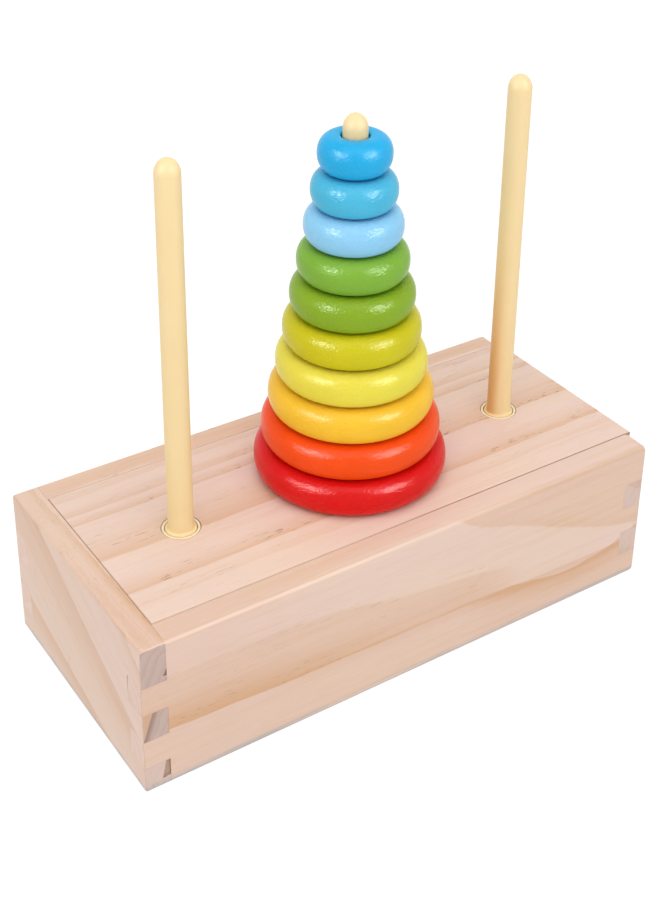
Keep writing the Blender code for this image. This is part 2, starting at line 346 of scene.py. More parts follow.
class Shader:
    """A Principled material's node tree, with short calls for the nodes that the looks use."""

    def __init__(self, name, roughness):
        self.mat = bpy.data.materials.new(name)
        self.mat.use_nodes = True
        self.tree = self.mat.node_tree
        self.surface = self.tree.nodes["Principled BSDF"].inputs
        self.surface["Roughness"].default_value = roughness

    def put(self, socket, value):
        """Links a socket or sets a value."""
        if isinstance(value, bpy.types.NodeSocket):
            self.tree.links.new(value, socket)
        elif socket.type == "RGBA":
            socket.default_value = (*value, 1.0)
        else:
            socket.default_value = value

    def node(self, kind, **settings):
        made = self.tree.nodes.new("ShaderNode" + kind)
        for key, value in settings.items():
            setattr(made, key, value)
        return made

    def math(self, operation, *values):
        made = self.node("Math", operation=operation)
        for socket, value in zip(made.inputs, values):
            self.put(socket, value)
        return made.outputs[0]

    def vector(self, operation, a, b, output="Vector"):
        made = self.node("VectorMath", operation=operation)
        self.put(made.inputs[0], a)
        self.put(made.inputs[1], b)
        return made.outputs[output]

    def add(self, *values):
        total = values[0]
        for value in values[1:]:
            total = self.math("ADD", total, value)
        return total

    def times(self, *values):
        total = values[0]
        for value in values[1:]:
            total = self.math("MULTIPLY", total, value)
        return total

    def join(self, x, y, z):
        made = self.node("CombineXYZ")
        for socket, value in zip(made.inputs, (x, y, z)):
            self.put(socket, value)
        return made.outputs[0]

    def along(self, vector, axis):
        """How far a vector reaches along an axis."""
        return self.vector("DOT_PRODUCT", vector, axis, "Value")

    def noise(self, vector, detail=2.0, roughness=0.5):
        """Smooth noise from 0 to 1, about one bump for each unit of the vector."""
        made = self.node("TexNoise")
        self.put(made.inputs["Vector"], vector)
        self.put(made.inputs["Scale"], 1.0)
        self.put(made.inputs["Detail"], detail)
        self.put(made.inputs["Roughness"], roughness)
        return made.outputs["Fac"]

    def step(self, value, low, high):
        """A smooth step from 0 at low to 1 at high."""
        made = self.node("MapRange", interpolation_type="SMOOTHSTEP")
        for socket, item in zip(made.inputs, (value, low, high, 0.0, 1.0)):
            self.put(socket, item)
        return made.outputs[0]

    def mix(self, share, a, b):
        """Colour a where share is 0 and b where it is 1."""
        made = self.node("Mix", data_type="RGBA", clamp_factor=True)
        self.put(made.inputs[0], share)
        self.put(made.inputs[6], a)
        self.put(made.inputs[7], b)
        return made.outputs[2]

    def shade(self, colour, amount):
        """A colour times a number."""
        made = self.node("VectorMath", operation="SCALE")
        self.put(made.inputs[0], colour)
        self.put(made.inputs["Scale"], amount)
        return made.outputs[0]

    def curve(self, value, low, high, points):
        """A smooth curve through points, from value to value, with the value from low to high."""
        tops = [y for _, y in points]
        bottom, top = min(tops), max(tops)
        made = self.node("FloatCurve")
        curve = made.mapping.curves[0]
        for index, (x, y) in enumerate(points):
            spot = ((x - low) / (high - low), (y - bottom) / (top - bottom))
            if index < 2:
                curve.points[index].location = spot
            else:
                curve.points.new(*spot)
        made.mapping.update()
        share = self.node("MapRange")
        for socket, item in zip(share.inputs, (value, low, high, 0.0, 1.0)):
            self.put(socket, item)
        self.put(made.inputs["Value"], share.outputs[0])
        return self.add(self.times(made.outputs[0], top - bottom), bottom)

    def bump(self, height, distance):
        """Sets the surface's relief from a height of 0 to 1."""
        made = self.node("Bump")
        self.put(made.inputs["Height"], height)
        made.inputs["Distance"].default_value = distance
        made.inputs["Strength"].default_value = 1.0
        self.put(self.surface["Normal"], made.outputs[0])


# ---------------------------------------------------------------- pine


def late_wood(s, g, rings, low, high):
    """Growth rings: each is sharp at its edge and fades away beyond it. g runs across them, from low to
    high, and rings holds (edge, strength, fade)."""
    ramp = s.node("ValToRGB")
    share = s.node("MapRange")
    for socket, item in zip(share.inputs, (g, low, high, 0.0, 1.0)):
        s.put(socket, item)
    s.put(ramp.inputs[0], share.outputs[0])
    stops = []
    for edge, strength, fade in rings:
        sharp = math.copysign(RING_EDGE, fade)
        stops += [(edge - sharp, 0.0), (edge, strength)]
        stops += [(edge + fade * 0.35, strength * 0.55), (edge + fade, 0.0)]
    stops.sort()
    elements = ramp.color_ramp.elements
    while len(elements) < len(stops):
        elements.new(1.0)
    for element, (place, value) in zip(elements, stops):
        element.position = (place - low) / (high - low)
        element.color = (value, value, value, 1.0)
    return ramp.outputs[0]


def ring_wave(s, g, period, fade):
    """Growth rings at a steady spacing, for boards that show nothing special."""
    phase = s.math("FRACT", s.math("DIVIDE", g, period))
    rise = s.step(phase, 0.0, 0.05)
    fall = s.math("SUBTRACT", 1.0, s.step(phase, 0.05, fade))
    return s.times(rise, fall)


class Pine(Shader):
    """A pine board's shader, with places in millimetres and noises that run along the fibres."""

    def __init__(self, name, seed, grain):
        super().__init__(name, 0.5)
        self.grain = Vector(grain).normalized()
        side = self.grain.cross(Vector(UP)).normalized()
        coords = self.node("TexCoord").outputs
        self.normal = coords["Normal"]
        self.up = self.along(self.normal, UP)
        self.mm = self.shade(coords["Object"], MM)
        self.x, self.y, self.z = (self.along(self.mm, axis) for axis in (RIGHT, BACK, UP))
        self.shifted = self.vector("ADD", self.mm, tuple(seed * shift for shift in PINE_SEED_SHIFT))
        axes = (self.grain, side, self.grain.cross(side))
        self.fibres = [self.along(self.shifted, tuple(axis)) for axis in axes]

    def grain_noise(self, kind):
        """One of PINE_NOISES, drawn out along the fibres."""
        along, across, detail, roughness = PINE_NOISES[kind]
        u, v, w = self.fibres
        stretched = self.join(self.times(u, along), self.times(v, across), self.times(w, across))
        return self.noise(stretched, detail, roughness)


def end_grain(s, end_tone):
    """The colour of the fibres' cut ends: bent growth lines and speckle."""
    bend = s.times(s.noise(s.shade(s.shifted, END_WAVES), 1.0), END_BEND)
    lines = s.math("FRACT", s.add(s.times(s.along(s.mm, END_LINES_ACROSS), END_LINES), bend))
    speckle = s.noise(s.shade(s.mm, END_SPECKLES), 2.0)
    share = s.add(s.times(s.step(lines, 0.3, 1.0), 0.34), s.times(s.step(speckle, 0.35, 0.8), 0.35), 0.10)
    return s.shade(s.mix(share, END_LIGHT, END_DARK), end_tone)


def finger_ends(s, end):
    """The middle finger's end has long grain left of a slanted line, and a dark brown band beside the line.
    The bottom finger's end is almost as pale as the board."""
    finger = MM * FINGER
    low, high = 2 * finger, 3 * finger
    slant = s.add(s.x, s.times(s.z, -SLANT), SLANT_FOOT + SLANT * high)
    over_low = s.step(s.z, low - FINGER_BLUR, low + FINGER_BLUR)
    middle = s.times(over_low, s.step(s.z, high + FINGER_BLUR, high - FINGER_BLUR))
    end = s.mix(s.times(middle, s.step(slant, 0.2, -0.4), 0.8), end, PINE_TAN)
    beside_slant = s.times(s.step(slant, 0.0, 0.3), s.step(slant, 3.4, 0.8))
    end = s.mix(s.times(middle, beside_slant, 0.9), end, SLANT_LINE_BROWN)
    bottom = s.step(s.z, finger + FINGER_BLUR, finger - FINGER_BLUR)
    return s.mix(s.times(bottom, 0.6), end, PINE_PINK)


def chip_floors(s, colour):
    """Browns the floor of each chip, which lies deeper than the box's outer faces: the brown of the bare
    wood, with painted shade in the hollow.
    """
    out_x, out_y = (s.math("ABSOLUTE", place) for place in (s.x, s.y))
    inside_x = s.step(out_x, HALF_LENGTH_MM - 0.10, HALF_LENGTH_MM - 0.25)
    inside_y = s.step(out_y, HALF_WIDTH_MM - 0.10, HALF_WIDTH_MM - 0.25)
    at_joint = s.step(out_y, INNER_Y_MM - 1.0, INNER_Y_MM - 0.8)
    below_rim = s.step(s.z, HEIGHT_MM - 4.0, HEIGHT_MM - 6.0)
    # Painted shade in the chips' hollows, over the brown of their wood
    return s.mix(s.times(inside_x, inside_y, at_joint, below_rim), colour, CHIP_WOOD_AND_SHADE_BROWN)


def gap_shade_edges(s, x, colour):
    """Painted shade: browns the lid's top edges along the left gap and, more to the right, along the front
    one, so the gaps show as brown shaded lines.
    """
    front = s.step(s.y, -INNER_Y_MM + 0.9, -INNER_Y_MM + 0.3)
    front = s.times(front, s.add(s.times(s.step(x, -30.0, 30.0), 0.5), 0.35))
    left = s.times(s.step(s.x, -INNER_X_MM + 0.8, -INNER_X_MM + 0.3), 0.5)
    near_top = s.step(s.z, HEIGHT_MM - 1.6, HEIGHT_MM - 0.8)
    # Painted shade along the lid's gaps
    return s.mix(s.times(s.math("MAXIMUM", front, left), near_top), colour, GAP_SHADE_BROWN)


def shaded_underside_and_scuffs(s, colour):
    """Paints shade on the rounded edge that meets the table, greying its underside, and scuffs the board just
    above it.
    """
    # Painted shade: the downward-facing rounding near the foot turns grey
    under = s.times(s.step(s.up, -0.05, -0.7), s.step(s.z, 5.0, 3.0))
    colour = s.mix(s.times(under, 0.85), colour, UNDERSIDE_SHADE_AND_SCUFF_GREY)
    lines = s.step(s.grain_noise("scuff"), 0.42, 0.58)
    scuffs = s.times(s.step(s.z, 4.6, 2.4), s.add(s.times(lines, 0.62), 0.14))
    return s.mix(scuffs, colour, UNDERSIDE_SHADE_AND_SCUFF_GREY)


def pine(name, seed, grain, growth, tone=1.0, ends=0.6, end_tone=1.0, chips=False, lid=False):
    """Pine. grain is the fibres' direction. growth(s, x, y, z, up) gives how far late wood darkens
    each place and how many resin canals show there, where up is the height of the surface's normal.
    tone is the board's brightness, ends how plainly its cut ends show, and end_tone their brightness."""
    s = Pine(name, seed, grain)

    # Slow waves bend the growth rings, and quick ones fray their edges
    slow = s.times(s.add(s.grain_noise("slow"), -0.5), SLOW_SWAY)
    quick = s.times(s.add(s.grain_noise("quick"), -0.5), QUICK_SWAY)
    sway = s.add(slow, quick)
    x, y, z = (s.add(place, sway) for place in (s.x, s.y, s.z))
    late, canals = growth(s, x, y, z, s.up)

    # Patches, late wood, streaks and fine lines
    fibre = s.grain_noise("fibre")
    fine = s.grain_noise("fine")
    streaks = s.times(s.step(s.grain_noise("streak"), 0.45, 0.75), STREAK_SHARE)
    fine_lines = s.times(s.step(fine, 0.5, 0.8), FINE_SHARE)
    colour = s.mix(s.step(s.grain_noise("patch"), 0.35, 0.65), PINE_LIGHT, PINE_PINK)
    colour = s.mix(s.add(s.times(late, LATE_SHARE), streaks, fine_lines), colour, PINE_TAN)

    # Resin canals: short dark dashes along the grain, in groups
    dash = s.step(s.grain_noise("dash"), 0.65, 0.70)
    group = s.step(s.grain_noise("group"), 0.45, 0.58)
    pore = s.times(dash, group, canals)
    colour = s.mix(s.times(pore, PORE_SHARE), colour, PINE_PORE)

    # Cut ends, where the surface crosses the fibres
    crossing = s.step(s.math("ABSOLUTE", s.along(s.normal, tuple(s.grain))), 0.72, 0.86)
    end = end_grain(s, end_tone)
    if chips:
        end = finger_ends(s, end)
    colour = s.mix(s.times(crossing, ends), colour, end)

    # Painted shade in the chips, along the lid's gaps and on the bottom edge's underside, with the chips'
    # brown wood and scuffs
    if chips:
        colour = chip_floors(s, colour)
    if lid:
        colour = gap_shade_edges(s, x, colour)
    colour = shaded_underside_and_scuffs(s, colour)

    # Painted shade: every board's rounded edges are made a little darker
    rounded = s.times(s.step(s.up, 0.1, 0.45), s.step(s.up, 0.99, 0.85), PAINTED_EDGE_SHADE)
    shade = s.add(s.times(fibre, FIBRE_SHADE), s.times(fine, FINE_SHADE), rounded, tone - MEAN_SHADE)
    s.put(s.surface["Base Color"], s.shade(colour, shade))
    s.surface["Specular IOR Level"].default_value = 0.35
    s.put(s.surface["Roughness"], s.add(s.times(fibre, 0.16), s.times(late, -0.06), 0.46))
    relief = s.add(s.times(fibre, 0.35), s.times(fine, 0.25), s.times(pore, -0.6), s.times(late, 0.12))
    s.bump(relief, PINE_RELIEF)
    return s.mat


def rest(s, share):
    """One minus a share."""
    return s.math("SUBTRACT", 1.0, share)


def lid_growth(s, x, y, z, up):
    """Rings that run along the lid, with their sharp edges to the front."""
    depth = s.add(y, s.times(z, 0.3), -0.3 * HEIGHT_MM)
    late = late_wood(s, depth, LID_RINGS, -60.0, 60.0)
    return late, s.add(s.times(late, 1.5), 0.12)


def front_growth(s, x, y, z, up):
    """A band that sinks from left to right, an arc under its right end and a tongue under the rim."""
    over_foot = s.math("SUBTRACT", z, s.curve(x, *FRONT_SPAN, BAND_FOOT))
    under_head = s.math("SUBTRACT", s.curve(x, *FRONT_SPAN, BAND_HEAD), z)
    arc = s.curve(x, *FRONT_SPAN, ARC)
    over_arc, under_arc = s.math("SUBTRACT", z, arc), s.math("SUBTRACT", arc, z)
    in_tongue = s.math("SUBTRACT", z, s.curve(x, *FRONT_SPAN, TONGUE))

    # The band is darkest at its foot and at its left end, and ends at the tongue
    between = s.times(s.step(over_foot, -0.5, 0.2), s.step(under_head, -0.6, 1.5))
    leftward = rest(s, s.step(x, -85.0, 10.0))
    peak = s.times(rest(s, s.step(over_foot, -0.5, 15.0)), s.add(s.times(leftward, 0.55), 0.12))
    foot_line = s.times(s.step(over_foot, -0.5, 0.0), rest(s, s.step(over_foot, 0.3, 1.6)), 0.22)
    band = s.add(s.times(between, 0.34), s.times(between, peak), foot_line)
    band = s.times(band, rest(s, s.step(x, 30.0, 62.0)))

    # Fainter wood just under the band, all the way down, and over it at the left
    near = s.times(s.step(over_foot, -6.0, 0.0), rest(s, s.step(over_foot, 0.0, 0.5)), 0.22)
    near = s.times(near, s.step(x, -75.0, -40.0))
    low = s.times(rest(s, s.step(over_foot, -0.5, 0.2)), 0.24)
    high = s.times(rest(s, s.step(x, -100.0, -20.0)), s.step(under_head, 1.5, -0.6), 0.12)

    below_arc = late_wood(s, over_arc, FRONT_ARC_RING, -60.0, 60.0)
    below_arc = s.add(below_arc, s.times(s.step(under_arc, -0.3, 0.3), 0.12))
    below_arc = s.times(below_arc, s.step(x, 20.0, 52.0))
    tongue = s.add(s.times(rest(s, s.step(in_tongue, 0.5, 8.0)), 0.12), 0.30)
    tongue = s.times(s.step(in_tongue, -0.8, 0.8), tongue)
    face = s.add(band, near, low, high, below_arc, tongue, 0.04)

    # The top of the board, and a tan band of painted shade on its rounded edge
    rim = s.add(s.times(rest(s, s.step(x, -110.0, 40.0)), 0.28), 0.08)
    on_top = s.step(up, 0.6, 0.9)
    # Painted shade: the rounded top edge is turned tan and darker
    edge = s.times(s.step(up, 0.1, 0.5), s.step(up, 1.0, 0.85), 0.22)
    late = s.add(s.times(face, rest(s, on_top)), s.times(rim, on_top), edge)

    near_head = s.step(s.math("ABSOLUTE", under_head), 3.5, 0.5)
    canals = s.add(s.times(band, 0.45), s.times(near_head, s.step(x, -70.0, -30.0), 0.32), 0.03)
    canals = s.times(canals, rest(s, s.step(x, 40.0, 70.0)))
    return late, s.times(canals, rest(s, on_top))


def left_growth(s, x, y, z, up):
    """Rings that fan out from the low front corner up to the high back corner, and run along the top edge."""
    lean = s.add(s.times(y, 0.0052), 1.0)
    level = s.math("DIVIDE", s.add(z, s.times(y, -0.244), s.times(x, 0.5), 0.5 * HALF_LENGTH_MM), lean)
    face = s.add(late_wood(s, level, LEFT_RINGS, -40.0, 130.0), 0.04)

    inward = s.add(x, s.times(y, 0.03), HALF_LENGTH_MM)
    forward = s.step(y, 25.0, -45.0)
    top = s.add(late_wood(s, inward, LEFT_TOP_RINGS, -20.0, 40.0), 0.18)
    top = s.times(top, s.add(s.times(forward, 0.7), 0.6))

    on_top = s.step(up, 0.55, 0.9)
    edge = s.times(s.step(up, 0.15, 0.45), s.step(up, 0.97, 0.8), forward, 0.4)
    late = s.add(s.times(face, rest(s, on_top)), s.times(top, on_top), edge)
    return late, 0.25


def plain_growth(direction_of_rings, period, strength):
    """Steady rings across a board that the others hide."""

    def growth(s, x, y, z, up):
        a, b, c = direction_of_rings
        g = s.add(s.times(x, a), s.times(y, b), s.times(z, c), 300.0)
        return s.times(ring_wave(s, g, period, 0.75), strength), 0.5

    return growth


# ---------------------------------------------------------------- plastic and paint


def cream_plastic(name, seed, colour, painted_shade_side=False):
    """Moulded cream plastic with faint clouds and a satin surface.
    A peg with painted shade is browner on its left side, low down: painted shade and colour bled from the
    rings beside it."""
    s = Shader(name, 0.38)
    coords = s.node("TexCoord").outputs
    mm = s.shade(coords["Object"], MM)
    spot = s.vector("ADD", mm, (seed * 31.0, seed * 17.0, 0.0))
    cloud = s.noise(s.shade(spot, 0.06), 2.0)
    flow = s.noise(s.vector("MULTIPLY", spot, (0.9, 0.9, 0.03)), 2.0)
    fine = s.noise(s.shade(spot, 2.5), 2.0)
    darker = tuple(c * k for c, k in zip(colour, CLOUD_TINT))
    base = s.mix(s.add(s.times(cloud, 0.8), s.times(flow, 0.4), -0.2), colour, darker)
    if painted_shade_side:
        # Painted shade and colour bled from the rings on the peg's side towards them
        facing = s.step(s.along(coords["Normal"], PAINTED_SHADE_FROM), 0.2, 1.0)
        high, low = (HEIGHT_MM + height for height in PAINTED_SHADE_HEIGHTS)
        height = s.step(s.along(mm, UP), high, low)
        base = s.mix(s.times(facing, height, 0.8), base, PEG_PAINTED_SHADE)
    s.put(s.surface["Base Color"], base)
    s.surface["Specular IOR Level"].default_value = 0.2
    s.put(s.surface["Roughness"], s.add(s.times(fine, 0.12), 0.45))
    s.bump(s.add(s.times(fine, 0.3), s.times(flow, 0.7)), PLASTIC_RELIEF)
    return s.mat


def paint(name, seed, colour):
    """Glossy paint over turned wood, whose grain shows faintly in the gloss."""
    s = Shader(name, 0.25)
    mm = s.shade(s.node("TexCoord").outputs["Object"], MM)
    spot = s.vector("ADD", mm, (seed * 41.0, seed * 23.0, seed * 13.0))
    fibre = s.noise(s.vector("MULTIPLY", spot, (0.4, 1.3, 1.3)), 2.0, 0.5)
    speckle = s.noise(s.shade(spot, 1.25), 1.0)
    orange_peel = s.noise(s.shade(spot, 0.35), 1.0)
    cloud = s.noise(s.shade(spot, 0.08), 1.0)
    thin = tuple(min(1.0, c * 1.06 + 0.004) for c in colour)
    thick = tuple(c * 0.90 for c in colour)
    s.put(s.surface["Base Color"], s.mix(s.add(s.times(cloud, 0.7), s.times(fibre, 0.3)), thick, thin))
    s.put(s.surface["Roughness"], s.add(s.times(fibre, 0.14), 0.15))
    s.surface["Specular IOR Level"].default_value = 0.12
    s.bump(s.add(s.times(fibre, 0.50), s.times(speckle, 0.42), s.times(orange_peel, 0.08)), PAINT_RELIEF)
    return s.mat


# ---------------------------------------------------------------- mesh tools


def add_object(name, bm, mat=None, smooth_angle=None):
    """Turns a bmesh into an object, with normals facing out and edges sharp above an angle."""
    bmesh.ops.recalc_face_normals(bm, faces=bm.faces)
    mesh = bpy.data.meshes.new(name)
    bm.to_mesh(mesh)
    bm.free()
    if smooth_angle:
        mesh.shade_smooth()
        mesh.set_sharp_from_angle(angle=math.radians(smooth_angle))
    obj = bpy.data.objects.new(name, mesh)
    bpy.context.scene.collection.objects.link(obj)
    if mat:
        mesh.materials.append(mat)
    return obj


def boolean(obj, cutter, operation):
    """Adds an exact boolean modifier."""
    mod = obj.modifiers.new(cutter.name, "BOOLEAN")
    mod.object = cutter
    mod.operation = operation
    mod.solver = "EXACT"


def settle(obj, smooth_angle):
    """Applies an object's modifiers, so that its cutters can go."""
    bpy.context.view_layer.update()
    evaluated = obj.evaluated_get(bpy.context.evaluated_depsgraph_get())
    mesh = bpy.data.meshes.new_from_object(evaluated)
    obj.modifiers.clear()
    mat = obj.data.materials[0]
    obj.data = mesh
    mesh.materials.clear()
    mesh.materials.append(mat)
    bm = bmesh.new()
    bm.from_mesh(mesh)
    for face in bm.faces:
        face.material_index = 0
    bm.to_mesh(mesh)
    bm.free()
    mesh.shade_smooth()
    mesh.set_sharp_from_angle(angle=math.radians(smooth_angle))


def prism(outline, axis, low, high):
    """Extrudes a closed outline along X, Y or Z. Its two coordinates are the other two axes, in order."""
    bm = bmesh.new()
    ends = []
    for level in (low, high):
        verts = []
        for u, v in outline:
            point = [u, v]
            point.insert("XYZ".index(axis), level)
            verts.append(bm.verts.new(point))
        ends.append(verts)
    bm.faces.new(ends[0])
    bm.faces.new(ends[1])
    count = len(outline)
    for i in range(count):
        j = (i + 1) % count
        bm.faces.new((ends[0][i], ends[0][j], ends[1][j], ends[1][i]))
    return bm


def block(low, high):
    """A box from its two opposite corners."""
    (x0, y0, z0), (x1, y1, z1) = low, high
    return prism([(x0, y0), (x1, y0), (x1, y1), (x0, y1)], "Z", z0, z1)


def lathe(profile, segments, closed, center):
    """A solid of revolution about a vertical axis. An open profile starts and ends on the axis."""
    bm = bmesh.new()
    rows = []
    for radius, z in profile:
        if radius == 0.0:
            rows.append([bm.verts.new((center.x, center.y, z))])
            continue
        row = []
        for i in range(segments):
            a = 2 * math.pi * i / segments
            row.append(bm.verts.new((center.x + radius * math.cos(a), center.y + radius * math.sin(a), z)))
        rows.append(row)
    pairs = list(zip(rows, rows[1:]))
    if closed:
        pairs.append((rows[-1], rows[0]))
    for lower, upper in pairs:
        for i in range(segments):
            j = (i + 1) % segments
            if len(lower) == 1:
                bm.faces.new((lower[0], upper[i], upper[j]))
            elif len(upper) == 1:
                bm.faces.new((lower[i], upper[0], lower[j]))
            else:
                bm.faces.new((lower[i], lower[j], upper[j], upper[i]))
    return bm


def corner(points, center, radius, start, steps):
    """Adds a quarter round to a profile, from an angle in degrees, turning left about center."""
    for i in range(steps + 1):
        a = math.radians(start + 90 * i / steps)
        points.append((center[0] + radius * math.cos(a), center[1] + radius * math.sin(a)))


def stand_for(obj, node, body):
    """obj replaces a CAD node, which it hides, and rides on its body."""
    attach(obj, body)
    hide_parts(node)


# ---------------------------------------------------------------- box


def comb_outline(left_teeth, right_teeth, body, tip, bottom, top):
    """A board's outline with finger joints at both ends, counter-clockwise from the bottom left."""

    def side(teeth):
        """One end's steps from bottom to top, as (reach, height)."""
        steps = []
        level = bottom
        for start, end in teeth:
            start_level = max(start * FINGER + JOINT / 2, bottom)
            end_level = top if end is None else end * FINGER - JOINT / 2
            if start_level > level:
                steps += [(body, level), (body, start_level)]
            steps += [(tip, start_level if start else bottom), (tip, end_level)]
            level = end_level
        if level < top:
            steps += [(body, level), (body, top)]
        return steps

    right = side(right_teeth)
    left = [(-reach, height) for reach, height in reversed(side(left_teeth))]
    return right + left


def rounded_envelope(name, front_top, back_top, right_top, left_top):
    """The box's outer shape, with its own rounding along each kind of edge."""
    bm = block((-HALF_LENGTH, -HALF_WIDTH, 0.0), (HALF_LENGTH, HALF_WIDTH, BOX_HEIGHT))
    weights = bm.edges.layers.float.new("bevel_weight_edge")
    widest = max(front_top, back_top, right_top, left_top, BOTTOM_ROUND)
    for edge in bm.edges:
        middle = (edge.verts[0].co + edge.verts[1].co) / 2
        if middle.z > BOX_HEIGHT - OVER:
            if abs(middle.y) > OVER:
                radius = back_top if middle.y > 0 else front_top
            else:
                radius = right_top if middle.x > 0 else left_top
        elif middle.z < OVER:
            radius = BOTTOM_ROUND
        else:
            radius = LEFT_CORNER_ROUND if middle.x < 0 else RIGHT_CORNER_ROUND
        edge[weights] = radius / widest
    obj = add_object(name, bm)
    bevel = obj.modifiers.new("rounding", "BEVEL")
    bevel.limit_method = "WEIGHT"
    bevel.width = widest
    bevel.segments = ROUND_SEGMENTS
    return obj


def chip_cutters():
    """Small chips at the front left finger joint: two in the front's ends and one in the left's."""
    cutters = []
    for index, chip in enumerate(FRONT_CHIPS):
        outline = [((out - INNER_X_MM) / MM, height / MM) for out, height in chip]
        bm = prism(outline, "Y", -HALF_WIDTH - OVER, -HALF_WIDTH + CHIP_DEPTH)
        cutters.append(add_object("cut_front_chip_%d" % index, bm))
    outline = [((out - INNER_Y_MM) / MM, height / MM) for out, height in LEFT_CHIP]
    bm = prism(outline, "X", -HALF_LENGTH - OVER, -HALF_LENGTH + CHIP_DEPTH)
    cutters.append(add_object("cut_left_chip", bm))
    return cutters


def build_box():
    """The four walls with tight finger joints, and the bottom board."""
    left = LEFT_TOP_ROUND
    envelope = rounded_envelope("envelope", FRONT_TOP_ROUND, BACK_TOP_ROUND, RIGHT_TOP_ROUND, left)
    left_envelope = rounded_envelope("left_envelope", left, left, left, left)
    groove_low = LID_BOTTOM - GROOVE_PLAY
    groove_high = LID_BOTTOM + GROOVE_HEIGHT
    grooves = {}
    for name, sign in (("front_panel", -1), ("back_panel", 1)):
        ys = sorted((sign * (INNER_Y - 2 * OVER), sign * (INNER_Y + GROOVE_DEPTH)))
        low = (-HALF_LENGTH - OVER, ys[0], groove_low)
        grooves[name] = add_object("cut_" + name, block(low, (HALF_LENGTH + OVER, ys[1], groove_high)))
    low = (-INNER_X - GROOVE_DEPTH, -INNER_Y - GROOVE_DEPTH, groove_low)
    high = (-INNER_X + 2 * OVER, INNER_Y + GROOVE_DEPTH, groove_high)
    grooves["left_end_panel"] = add_object("cut_left_end_panel", block(low, high))
    chips = chip_cutters()
    cutters = [envelope, left_envelope, *grooves.values(), *chips]

    even_teeth = [(1, 2), (3, 4)]
    odd_teeth = [(0, 1), (2, 3), (4, None)]
    low, high = -OVER, BOX_HEIGHT + OVER
    long_outline = comb_outline(even_teeth, odd_teeth, INNER_X - JOINT, HALF_LENGTH + OVER, low, high)
    left_outline = comb_outline(odd_teeth, odd_teeth, INNER_Y - JOINT, HALF_WIDTH + OVER, low, high)
    right_outline = comb_outline(even_teeth, even_teeth, INNER_Y - JOINT, HALF_WIDTH + OVER, low, SHORT_TOP)
    outside_x, outside_y = HALF_LENGTH + OVER, HALF_WIDTH + OVER
    walls = {
        "front_panel": (
            prism(long_outline, "Y", -outside_y, -INNER_Y),
            envelope,
            pine("pine_front", 1, RIGHT, front_growth, tone=0.97, ends=0.6, end_tone=1.5, chips=True),
        ),
        "back_panel": (
            prism(long_outline, "Y", INNER_Y, outside_y),
            envelope,
            pine("pine_back", 2, RIGHT, plain_growth((0.0, 0.6, 0.8), 19.0, 0.5), ends=0.6, end_tone=1.5),
        ),
        "left_end_panel": (
            prism(left_outline, "X", -outside_x, -INNER_X),
            left_envelope,
            pine("pine_left", 3, (0, 0.93, 0.36), left_growth, tone=0.968, ends=0.95, chips=True),
        ),
        "right_end_panel": (
            prism(right_outline, "X", INNER_X, outside_x),
            envelope,
            pine("pine_right", 4, BACK, plain_growth((0.5, 0.1, 0.85), 17.0, 0.6), ends=0.5),
        ),
    }
    for name, (bm, shape, mat) in walls.items():
        wall = add_object(name + "_board", bm, mat)
        boolean(wall, shape, "INTERSECT")
        if name in grooves:
            boolean(wall, grooves[name], "DIFFERENCE")
        if name == "left_end_panel":
            for chip in chips[:-1]:
                boolean(wall, chip, "DIFFERENCE")
        if name == "front_panel":
            boolean(wall, chips[-1], "DIFFERENCE")
        settle(wall, BOARD_SMOOTH_ANGLE)
        stand_for(wall, name, "box")

    inside_x, inside_y = INNER_X - JOINT, INNER_Y - JOINT
    bm = block((-inside_x, -inside_y, 0.0), (inside_x, inside_y, BASE_TOP))
    mat = pine("pine_bottom", 5, RIGHT, plain_growth((0.05, 1.0, 0.4), 15.0, 0.7))
    stand_for(add_object("bottom_panel_board", bm, mat), "bottom_panel", "box")
    for cutter in cutters:
        bpy.data.objects.remove(cutter)


# ---------------------------------------------------------------- lid, inserts and pegs


def build_lid(peg_names):
    """The lid: a board with a tongue on three sides, soft edges and a hole for each insert."""
    half = INNER_Y - LID_SIDE_GAP
    reach = LID_HIGH.y
    tongue_top = LID_BOTTOM + TONGUE_THICKNESS
    section = [
        (-reach, LID_BOTTOM),
        (reach, LID_BOTTOM),
        (reach, tongue_top),
        (half, tongue_top),
        (half, BOX_HEIGHT),
        (-half, BOX_HEIGHT),
        (-half, tongue_top),
        (-reach, tongue_top),
    ]
    mat = pine("pine_lid", 6, RIGHT, lid_growth, tone=0.985, lid=True)
    lid = add_object("sliding_lid_board", prism(section, "X", LID_LOW.x, LID_HIGH.x), mat)
    head_low = (-HALF_LENGTH, -HALF_WIDTH, tongue_top)
    head = add_object("cut_head", block(head_low, (-INNER_X + LID_SIDE_GAP, HALF_WIDTH, BOX_HEIGHT + OVER)))
    cutters = [head]
    boolean(lid, head, "DIFFERENCE")
    bevel = lid.modifiers.new("edge_round", "BEVEL")
    bevel.limit_method = "ANGLE"
    bevel.width = LID_EDGE_ROUND
    bevel.segments = EDGE_STEPS
    for name in peg_names:
        low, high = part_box("peg_socket_" + name)
        radius = (high.x - low.x) / 2 + SOCKET_PLAY
        bottom, top = LID_BOTTOM - OVER, BOX_HEIGHT + OVER
        profile = [(0.0, bottom), (radius, bottom), (radius, top), (0.0, top)]
        hole = add_object("cut_hole_" + name, lathe(profile, HOLE_SEGMENTS, False, (low + high) / 2))
        boolean(lid, hole, "DIFFERENCE")
        cutters.append(hole)
    settle(lid, BOARD_SMOOTH_ANGLE)
    stand_for(lid, "sliding_lid", "lid")
    for cutter in cutters:
        bpy.data.objects.remove(cutter)


